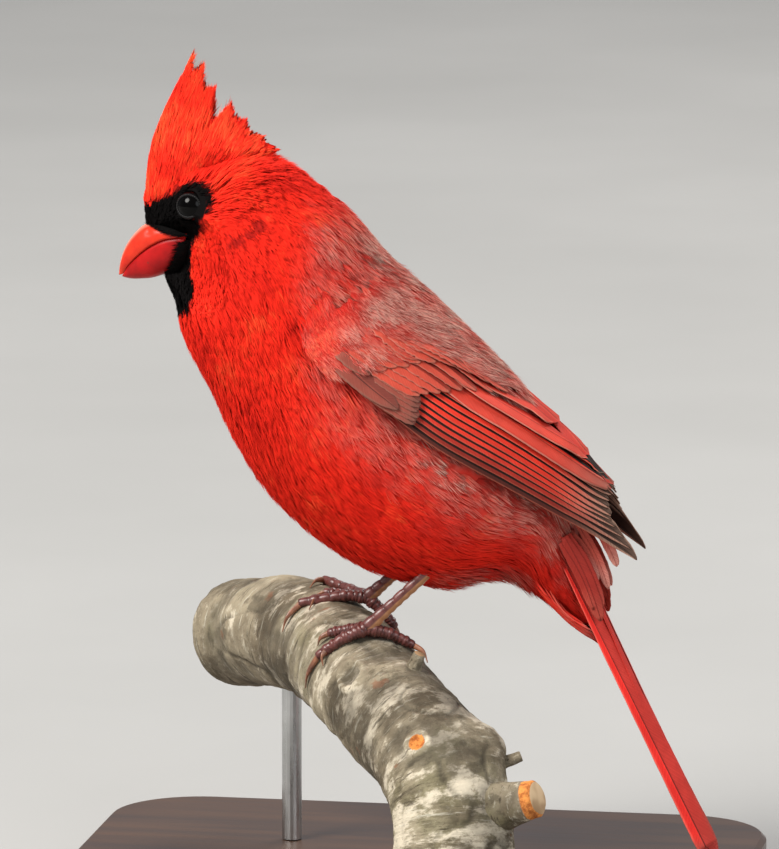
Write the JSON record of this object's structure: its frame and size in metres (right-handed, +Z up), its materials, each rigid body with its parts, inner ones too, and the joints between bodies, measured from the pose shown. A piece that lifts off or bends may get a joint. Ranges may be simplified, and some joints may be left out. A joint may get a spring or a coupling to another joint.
{
  "type": "northern cardinal",
  "caption": "Adult male northern cardinal, still life-size model gripping a cut length of branch on a plain display stand.",
  "frame": {"origin": "centre of the base's underside, on the surface that the stand rests on", "axes": "+Z up; the bird faces -X, so its tail points to +X, and its left side is towards -Y"},
  "size_m": [0.168, 0.15, 0.2133],
  "materials": {
    "plumage_red": "soft feathers, matt",
    "plumage_black": "soft black feathers, matt",
    "flight_feathers": "smooth feather vanes, slight sheen",
    "bill_horn": "satin horn",
    "eye": "wet gloss",
    "leg_scales": "scaled skin, slight gloss",
    "claw_horn": "satin horn",
    "bark": "grey-green bark with pale streaks",
    "base_wood": "dark stained wood, satin",
    "rod_metal": "brushed"
  },
  "bodies": {
    "root": {"head": "plumage_red", "face": "plumage_black", "neck": "plumage_red", "torso": "plumage_red", "rump": "plumage_red", "crest": "plumage_red", "bill_upper": "bill_horn", "bill_lower": "bill_horn", "eye_left": "eye", "eye_right": "eye", "wing_left": "flight_feathers", "wing_right": "flight_feathers", "tail": "flight_feathers", "leg_left": "leg_scales", "claw_left_1": "claw_horn", "claw_left_2": "claw_horn", "claw_left_3": "claw_horn", "claw_left_4": "claw_horn", "leg_right": "leg_scales", "claw_right_1": "claw_horn", "claw_right_2": "claw_horn", "claw_right_3": "claw_horn", "claw_right_4": "claw_horn", "perch": "bark", "stand_base": "base_wood", "stand_rod_rear": "rod_metal", "stand_rod_front": "rod_metal"}
  },
  "joints": []
}
